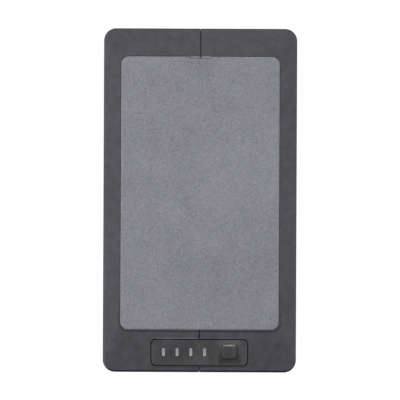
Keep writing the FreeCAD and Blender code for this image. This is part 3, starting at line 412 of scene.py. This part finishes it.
LOOKS = {
    "bracket_steel": coated("powder coat", (0.52, 0.53, 0.54)),
    # the casing carries painted light and shade: on the finger ledge, on the bead, on the lower rim, round
    # the cover and on faces that look down
    "casing_plastic": moulded("casing plastic", (0.0464, 0.0458, 0.0541), rough=0.54, mottle=0.08, patch=0.16,
                              gloss=0.3, under=0.5, regions=CASING_REGIONS, line=COVER_SHADOW_LINE),
    "rear_plastic": moulded("rear plastic", (0.047, 0.047, 0.052), rough=0.55, grain=0.6, depth=0.03),
    "seal_rubber": rubber("seal rubber", (0.014, 0.014, 0.015)),
    "bumper_rubber": rubber("bumper rubber", (0.02, 0.02, 0.021)),
    "screw_steel": plated("screw steel", (0.56, 0.56, 0.54)),
    "plate_steel": plated("zinc plate", (0.52, 0.53, 0.54)),
    # the bezel carries painted light above the button and painted shade below it
    "bezel_plastic": moulded("bezel plastic", (0.0345, 0.0338, 0.0352), rough=0.58, grain=1.0, depth=0.08,
                             mottle=0.42, patch=0.2, shelf=BUTTON_LIGHT_AND_SHADE),
    "button_plastic": moulded("button plastic", (0.043, 0.042, 0.0435), rough=0.28, grain=1.1, depth=0.008,
                              mottle=0.16, patch=0.08),
    "cover_plastic": moulded("cover plastic", (0.13, 0.13, 0.14), rough=0.5),
    "felt": felt_look("felt", (0.188, 0.186, 0.2075), (0.0, felt_low.y, felt_high.z)),
    "light_guide": light_guide("light guide", pipe_low.z, pipe_high.z),
    "circuit_board": circuit("circuit board"),
    "led": glossy("led lens", (0.75, 0.72, 0.45), rough=0.2, subsurface_weight=0.3, subsurface_scale=0.001),
    "socket_plastic": moulded("socket plastic", (0.62, 0.6, 0.53), rough=0.45, wear=0.05),
    "switch_plastic": moulded("switch plastic", (0.035, 0.035, 0.036), rough=0.4),
    "stem_plastic": moulded("stem plastic", (0.22, 0.035, 0.03), rough=0.4),
    "chip_plastic": moulded("chip plastic", (0.022, 0.022, 0.023), rough=0.5, grain=0.3),
    "cell_sleeve": glossy("cell sleeve", (0.03, 0.12, 0.33), rough=0.3, grain=2.5, depth=0.03),
    "holder_plastic": moulded("holder plastic", (0.03, 0.03, 0.031), rough=0.48),
    "fuse_plastic": glossy("fuse plastic", (0.62, 0.06, 0.04), rough=0.18, coat_weight=0.4),
    "nickel_strip": plated("nickel strip", (0.6, 0.58, 0.53), rough=0.3, along="z"),
    "insulator_sheet": rubber("pressed fibre sheet", (0.36, 0.29, 0.15), rough=0.85),
    "foam": rubber("closed-cell foam", (0.035, 0.035, 0.036), rough=0.9),
    "sensor_epoxy": glossy("sensor epoxy", (0.05, 0.03, 0.015), rough=0.15),
    "heat_sink_aluminium": plated("heat sink aluminium", (0.68, 0.69, 0.7), rough=0.38),
    "shunt_metal": plated("shunt alloy", (0.55, 0.36, 0.2), rough=0.32),
    "red_insulation": glossy("red insulation", (0.42, 0.015, 0.012), rough=0.5, grain=1.2, depth=0.02),
    "black_insulation": glossy("black insulation", (0.016, 0.016, 0.017), rough=0.5, grain=1.2, depth=0.02),
    "blue_insulation": glossy("blue insulation", (0.02, 0.06, 0.28), rough=0.5, grain=1.2, depth=0.02),
    "grey_insulation": glossy("grey insulation", (0.17, 0.17, 0.18), rough=0.5, grain=1.2, depth=0.02),
    "connector_metal": plated("nickel-plated brass", (0.64, 0.62, 0.57), rough=0.24),
    "insert_plastic": moulded("insert plastic", (0.02, 0.02, 0.021), rough=0.4),
    "contact_gold": plated("gold contact", (0.83, 0.6, 0.22), rough=0.2),
    "vent_plastic": moulded("vent plastic", (0.05, 0.05, 0.051), rough=0.5),
}

for part in frame["record"]["subparts"]:
    materials = NODES[part["node"]].data.materials
    materials.clear()
    materials.append(LOOKS[part["material_slot"]])


# ------------------------------------------------------------------ mesh helpers
def piece(name, points, faces, look, body):
    """A smooth-shaded mesh that rides on a body."""
    mesh = bpy.data.meshes.new(name)
    mesh.from_pydata([tuple(p) for p in points], [], faces)
    mesh.validate()
    mesh.update()
    mesh.shade_smooth()
    made = bpy.data.objects.new(name, mesh)
    bpy.context.scene.collection.objects.link(made)
    made.data.materials.append(look)
    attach(made, body)
    return made


def grid_faces(rows, columns, wrap=False):
    """Quads between rows of points; wrap joins each row's last point to its first."""
    faces = []
    for i in range(rows - 1):
        for j in range(columns if wrap else columns - 1):
            a = i * columns + j
            b = i * columns + (j + 1) % columns
            faces.append((a, b, b + columns, a + columns))
    return faces


# ------------------------------------------------------------------ felt facing
EDGE_STEPS = (0.0, 0.1, 0.25, 0.45, 0.7, 1.0, 1.4, 1.9, 2.6)   # distances of the first rows from the edge
FELT_ROLL = 1.7              # width of the rolled edge
FELT_PITCH = 0.86            # distance between the rows and columns of the mesh
FELT_OVERHANG = 0.08         # how far the felt reaches past the solid it replaces
NOTCH_FOOT = 1.93            # depth of the notch in the top edge
NOTCH_HALF = 9.43            # half the width of the notch's foot


def steps_between(low, high, pitch, extra=()):
    """Positions in millimetres from low to high, close together near both ends."""
    inner_low, inner_high = low + EDGE_STEPS[-1], high - EDGE_STEPS[-1]
    count = round((inner_high - inner_low) / pitch)
    inner = [inner_low + (inner_high - inner_low) * i / count for i in range(1, count)]
    inner = [v for v in inner if all(abs(v - e) > pitch * 0.45 for e in extra)] + list(extra)
    return [low + s for s in EDGE_STEPS] + sorted(inner) + [high - s for s in reversed(EDGE_STEPS)]


def felt_facing():
    """The cover's felt: a dense sheet with rolled edges, a notched top edge and a slightly uneven nap."""
    half = felt_high.x / MM + FELT_OVERHANG
    bottom, top = felt_low.z / MM - FELT_OVERHANG, felt_high.z / MM + FELT_OVERHANG
    front, back = felt_low.y / MM, felt_high.y / MM
    foot = top - NOTCH_FOOT
    r = COVER_CORNER

    def drop(x):
        """How far the outline's corner falls at x."""
        over = max(0.0, abs(x) - (half - r))
        return r - math.sqrt(max(0.0, r * r - over * over))

    def top_at(x):
        notch = foot + max(0.0, abs(x) - NOTCH_HALF)
        return min(top - drop(x), notch) if abs(x) < NOTCH_HALF + NOTCH_FOOT else top - drop(x)

    def depth_in(x, z):
        """Distance inwards from the outline."""
        mid = (top + bottom) / 2
        qx, qz = abs(x) - (half - r), abs(z - mid) - ((top - bottom) / 2 - r)
        rim = r - math.hypot(max(qx, 0.0), max(qz, 0.0)) - min(max(qx, qz), 0.0)
        beside = (abs(x) - NOTCH_HALF - (z - foot)) / math.sqrt(2)
        return max(0.0, min(rim, max(foot - z, beside)))

    corners = (NOTCH_HALF, NOTCH_HALF + NOTCH_FOOT)
    columns = steps_between(-half, half, FELT_PITCH, [s * c for s in (-1, 1) for c in corners])
    rows = steps_between(0.0, 100.0, FELT_PITCH * 100.0 / (top - bottom))
    edge = EDGE_STEPS[-1]
    thick = back - front
    points = []
    for v in rows:
        for x in columns:
            low, high = bottom + drop(x), top_at(x)
            if v <= edge:
                z = low + v
            elif v >= 100.0 - edge:
                z = high - (100.0 - v)
            else:
                z = low + edge + (v - edge) / (100.0 - 2 * edge) * (high - low - 2 * edge)
            d = depth_in(x, z)
            inner = max(0.0, 1.0 - d / FELT_ROLL)
            y = front + 0.1 + (thick - 0.2) * (1.0 - math.sqrt(max(0.0, 1.0 - inner * inner)))
            at = Vector((x, 0.0, z))
            nap = 0.05 * noise.noise(at / 1.5) + 0.035 * noise.noise(at / 0.9 + Vector((7, 3, 1)))
            swell = 0.05 * noise.noise(at / 17.0) + 0.05 * noise.noise(at / 60.0)
            y += (nap + swell) * min(1.0, d / 0.6)
            points.append((x * MM, y * MM, z * MM))
    faces = grid_faces(len(rows), len(columns))
    n, m = len(rows), len(columns)
    ring = list(range(m)) + [i * m + m - 1 for i in range(1, n)]
    ring += [(n - 1) * m + j for j in range(m - 2, -1, -1)] + [i * m for i in range(n - 2, 0, -1)]
    last = ring
    for inward, y in ((0.0, back - 0.02), (0.0, back + 1.6), (0.12, back + 1.65)):
        start = len(points)
        for k in ring:
            x, _, z = points[k]
            scale = 1.0 - inward / half
            points.append((x * scale, y * MM, z * scale + (1.0 - scale) * 7.0 * MM))
        fresh = list(range(start, start + len(ring)))
        for a in range(len(ring)):
            b = (a + 1) % len(ring)
            faces.append((last[b], last[a], fresh[a], fresh[b]))
        last = fresh
    faces.append(tuple(reversed(last)))
    made = piece("felt_facing", points, faces, LOOKS["felt"], "front_cover")
    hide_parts("cover_felt")


felt_facing()


# ------------------------------------------------------------------ connectors with cut threads
THREAD_PITCH = 1.0
THREAD_DEPTH = 0.55
BARREL_R = 6.0
BORE_R, BORE_DEPTH = 4.6, 7.5
SOCKET_R, SOCKET_DEPTH = 4.2, 3.0
FLANGE_FOOT, FLANGE_TOP = 8.4, 10.2     # heights above the barrel's tip
KNURL_DEPTH, KNURLS = 0.22, 18
TURN = 72                    # points round the axis


def connector(node):
    """Round connector body turned from a profile, with a cut thread and a knurled flange."""
    low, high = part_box(node)
    cx, cy = (low.x + high.x) / 2 / MM, (low.y + high.y) / 2 / MM
    tip, rear = low.z / MM, high.z / MM
    flange_r = (high.x - low.x) / 2 / MM
    flange_top, flange_bottom = tip + FLANGE_TOP, tip + FLANGE_FOOT
    profile = [(SOCKET_R, rear, ""), (BARREL_R - 0.3, rear, ""), (BARREL_R, rear - 0.3, "")]
    profile += [(BARREL_R, z, "") for z in (rear - SOCKET_DEPTH, flange_top + 0.05)]
    profile += [(flange_r - 0.35, flange_top, ""), (flange_r, flange_top - 0.3, "knurl")]
    profile += [(flange_r, flange_bottom + 0.3, "knurl"), (flange_r - 0.35, flange_bottom, "")]
    thread_top, thread_foot = flange_bottom - 0.6, tip + 0.7
    profile += [(BARREL_R - 0.45, flange_bottom - 0.02, ""), (BARREL_R - 0.45, thread_top, "")]
    count = round((thread_top - thread_foot) / (THREAD_PITCH / 8))
    for i in range(count + 1):
        profile.append((BARREL_R, thread_top + (thread_foot - thread_top) * i / count, "thread"))
    profile += [(BARREL_R - 0.55, tip + 0.25, ""), (BARREL_R - 0.8, tip, "")]
    profile += [(BORE_R + 0.25, tip, ""), (BORE_R, tip + 0.3, "")]
    profile += [(BORE_R, tip + BORE_DEPTH, ""), (0.4, tip + BORE_DEPTH, "")]

    def place(radius, k, z):
        angle = 2 * math.pi * k / TURN
        return (cx + radius * math.cos(angle)) * MM, (cy + radius * math.sin(angle)) * MM, z * MM

    points = []
    for r, z, kind in profile:
        for k in range(TURN):
            radius = r
            if kind == "knurl":
                radius = r - KNURL_DEPTH * abs(math.sin(2 * math.pi * k / TURN * KNURLS))
            if kind == "thread":
                phase = (z / THREAD_PITCH + k / TURN) % 1.0
                tooth = min(1.0, max(0.0, 2.4 * abs(phase - 0.5) - 0.1))
                fade = min(1.0, (thread_top - z) / 0.5, (z - thread_foot) / 0.5)
                radius = r - THREAD_DEPTH * (1.0 - (1.0 - tooth) * max(0.0, fade))
            points.append(place(radius, k, z))
    faces = [tuple(reversed(f)) for f in grid_faces(len(profile), TURN, wrap=True)]
    last = (len(profile) - 1) * TURN
    faces.append(tuple(last + k for k in reversed(range(TURN))))
    foot = len(points)
    points += [place(SOCKET_R, k, rear - SOCKET_DEPTH) for k in range(TURN)]
    faces += [(k, (k + 1) % TURN, foot + (k + 1) % TURN, foot + k) for k in range(TURN)]
    faces.append(tuple(foot + k for k in range(TURN)))
    made = piece(node + "_body", points, faces, LOOKS["connector_metal"], "battery_unit")
    made.modifiers.new("split", "EDGE_SPLIT").split_angle = math.radians(40)
    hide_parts(node)


connector("input_connector")
connector("output_connector")


# ------------------------------------------------------------------ button
BUTTON_FLANGE = 1.5          # how far the retaining flange stands out round the cap
BUTTON_FULLER = 0.18         # how much fuller the cap is than its plain solid
BUTTON_TILT = 0.0952         # the face leans back with the casing's slope
BUTTON_CROWN = 60.0          # radius of the crowned face
BUTTON_RISE = 0.18           # how far the cap sits above the middle of its hole
FACET, FACET_DROP = 2.4, 1.17    # width and fall of the facets along the top and bottom
FACET_ENDS = 11.0            # the facets run straight for nearly the cap's full width
RIM, RIM_DROP = 0.3, 0.12    # width and fall of the softened rim
PLUNGER_R = 2.5
SQUARENESS = 6.4             # exponent of the cap's rounded-square outline
LOOP = 96                    # points round the outline
FACE_INSETS = (0.0, 0.03, 0.08, 0.15, 0.25, 0.4, 0.6, 0.8, 1.1, 1.4, 1.7, 2.0, 2.25, 2.5, 3.0, 3.8, 4.6,
               5.4, 6.1)     # distances of the face's loops from its outline


def loop_points(half_x, half_z, power):
    """Points on a rounded-square outline; a power of 2 makes it round."""
    points = []
    for k in range(LOOP):
        c, s = math.cos(2 * math.pi * k / LOOP), math.sin(2 * math.pi * k / LOOP)
        x = half_x * math.copysign(abs(c) ** (2 / power), c)
        z = half_z * math.copysign(abs(s) ** (2 / power), s)
        points.append((x, z))
    return points


def button():
    """Push button: plunger, flange, straight sides and a crowned, facetted face."""
    low, high = (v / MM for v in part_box("button_cap"))
    middle = (low + high) / 2
    half_x = (high.x - low.x) / 2 - BUTTON_FLANGE + BUTTON_FULLER
    half_z = (high.z - low.z) / 2 - BUTTON_FLANGE + BUTTON_FULLER
    tip, flange_back, flange_front = high.y, high.y - 0.85, high.y - 1.85
    face = low.y + BUTTON_CROWN * BUTTON_TILT ** 2 / 2

    def face_y(x, z, inset):
        """The crowned face falls away at the rim, in a broad facet along its top and bottom."""
        reach = half_z * max(0.0, 1 - abs(x / half_x) ** FACET_ENDS) ** (1 / FACET_ENDS)
        facet = FACET_DROP * max(0.0, 1 - max(0.0, reach - abs(z)) / FACET) ** 1.25
        rim = RIM_DROP * max(0.0, 1 - inset / RIM) ** 2
        return face + facet + rim - BUTTON_TILT * z + (x * x + z * z) / (2 * BUTTON_CROWN)

    flange = BUTTON_FLANGE - BUTTON_FULLER
    wide = (half_x + flange, half_z + flange, SQUARENESS)
    plunger = (PLUNGER_R, PLUNGER_R, 2.0)
    rings = [(*plunger, tip), (*plunger, flange_back), (*wide, flange_back), (*wide, flange_front),
             (half_x, half_z, SQUARENESS, flange_front)]
    points = [(x, y, z) for hx, hz, power, y in rings for x, z in loop_points(hx, hz, power)]
    for inset in FACE_INSETS:
        loop = loop_points(half_x - inset, half_z - inset, SQUARENESS)
        points += [(x, face_y(x, z, inset), z) for x, z in loop]
    faces = grid_faces(len(rings) + len(FACE_INSETS), LOOP, wrap=True)
    for start, flip in ((0, True), (len(points) - LOOP, False)):
        _, y, _ = points[start]
        centre = len(points)
        points.append((0.0, y if flip else face_y(0.0, 0.0, FACET), 0.0))
        fan = [(start + k, start + (k + 1) % LOOP, centre) for k in range(LOOP)]
        faces += [tuple(reversed(f)) for f in fan] if flip else fan
    x0, z0 = middle.x, middle.z + BUTTON_RISE
    placed = [((x0 + x) * MM, y * MM, (z0 + z) * MM) for x, y, z in points]
    made = piece("button", placed, faces, LOOKS["button_plastic"], "power_button")
    made.modifiers.new("split", "EDGE_SPLIT").split_angle = math.radians(40)
    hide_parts("button_cap")


button()


# ------------------------------------------------------------------ stage, light and camera
FLOOR_DROP = 0.16            # how far the floor lies below the unit, which hangs clear of it
FLOOR_CLEAR, FLOOR_END = 0.4, 0.95     # where the floor starts to fade, and where it ends
AMBIENT = 0.09               # light from all round
AMBIENT_SLANT = (-0.06, -0.2, 0.0)
AMBIENT_SIDES = 0.9
COOL = (0.95, 0.97, 1.0)
PLAIN = (1.0, 1.0, 1.0)
PHOTO_SPAN = 0.3931          # width of the picture at the casing's front
FRONT_DEPTH = 0.05           # how far the casing's front is from the wall
DISTANCE = 3.2
CAMERA_HEIGHT = 0.0004
ROLL = math.radians(0.25)
SENSOR = 36.0


def floor():
    """A plain pale floor that fades out before it comes into the picture, and is clear from below."""
    z, reach = CAD_BOX[0].z - FLOOR_DROP, FLOOR_END
    mesh = bpy.data.meshes.new("floor")
    corners = [(-reach, -reach, z), (reach, -reach, z), (reach, reach, z), (-reach, reach, z)]
    mesh.from_pydata(corners, [], [(0, 1, 2, 3)])
    made = bpy.data.objects.new("floor", mesh)
    bpy.context.scene.collection.objects.link(made)
    look = Look("pale floor")
    shade = look.span(look.noise(200.0, 2.0), 0.3, 0.7, 0.985, 1.0)
    x, y, _ = look.axes()
    away = look.math("SQRT", look.math("ADD", look.math("MULTIPLY", x, x), look.math("MULTIPLY", y, y)))
    from_above = look.math("SUBTRACT", 1.0, look.node("ShaderNodeNewGeometry").outputs["Backfacing"])
    alpha = look.math("MULTIPLY", from_above, look.span(away, FLOOR_CLEAR, FLOOR_END, 1.0, 0.0))
    mesh.materials.append(look.finish(look.tinted((0.88, 0.88, 0.88), shade), 0.8, alpha=alpha))
    made.visible_diffuse = False
    made.visible_glossy = False


def lamp(name, place, width, height, power, colour):
    """A soft rectangular light that faces the unit."""
    data = bpy.data.lights.new(name, "AREA")
    data.shape = "RECTANGLE"
    data.size, data.size_y = width, height
    data.energy = power
    data.color = colour
    made = bpy.data.objects.new(name, data)
    made.location = place
    made.rotation_euler = (-Vector(place)).to_track_quat("-Z", "Y").to_euler()
    bpy.context.scene.collection.objects.link(made)


def world():
    """White behind the unit; the light it gives is soft, strongest from the front and both sides."""
    made = bpy.data.worlds.new("studio")
    bpy.context.scene.world = made
    made.use_nodes = True
    tree = made.node_tree

    def node(kind, a, b, operation):
        new = tree.nodes.new(kind)
        new.operation = operation
        for socket, value in zip(new.inputs, (a, b)):
            if isinstance(value, bpy.types.NodeSocket):
                tree.links.new(value, socket)
            else:
                socket.default_value = value
        return new.outputs["Value"]

    way = tree.nodes.new("ShaderNodeTexCoord").outputs["Generated"]
    slant = node("ShaderNodeVectorMath", way, AMBIENT_SLANT, "DOT_PRODUCT")
    along_x = node("ShaderNodeVectorMath", way, (1.0, 0.0, 0.0), "DOT_PRODUCT")
    sideways = node("ShaderNodeMath", node("ShaderNodeMath", along_x, 0.0, "ABSOLUTE"), 3.0, "POWER")
    sides = node("ShaderNodeMath", sideways, AMBIENT_SIDES, "MULTIPLY")
    soft = node("ShaderNodeMath", node("ShaderNodeMath", slant, AMBIENT, "ADD"), sides, "ADD")
    seen = tree.nodes.new("ShaderNodeLightPath").outputs["Is Camera Ray"]
    level = node("ShaderNodeMath", node("ShaderNodeMath", soft, 0.02, "MAXIMUM"), seen, "ADD")
    tree.links.new(level, tree.nodes["Background"].inputs["Strength"])
    tree.nodes["Background"].inputs["Color"].default_value = (1.0, 1.0, 1.0, 1.0)


floor()
world()
lamp("left softbox", (-1.45, -1.1, -0.1), 1.4, 2.0, 28.0, COOL)
lamp("right softbox", (1.45, -1.1, -0.1), 1.4, 2.0, 16.9, COOL)
lamp("top softbox", (0.0, -2.3, 2.25), 2.0, 1.2, 47.0, PLAIN)
lamp("back softbox", (0.5, 1.6, 0.7), 1.2, 1.0, 12.0, PLAIN)


def camera():
    """Square to the front and far off, at the photo's angle."""
    data = bpy.data.cameras.new("camera")
    data.sensor_width = SENSOR
    data.lens = SENSOR * (DISTANCE - FRONT_DEPTH) / PHOTO_SPAN
    data.clip_start, data.clip_end = 0.05, 50.0
    made = bpy.data.objects.new("camera", data)
    made.location = (0.0, -DISTANCE, CAMERA_HEIGHT)
    made.rotation_euler = (math.pi / 2, 0.0, 0.0)
    made.rotation_euler.rotate_axis("Z", ROLL)
    bpy.context.scene.collection.objects.link(made)
    bpy.context.scene.camera = made


camera()
bpy.context.scene.view_settings.view_transform = "Standard"
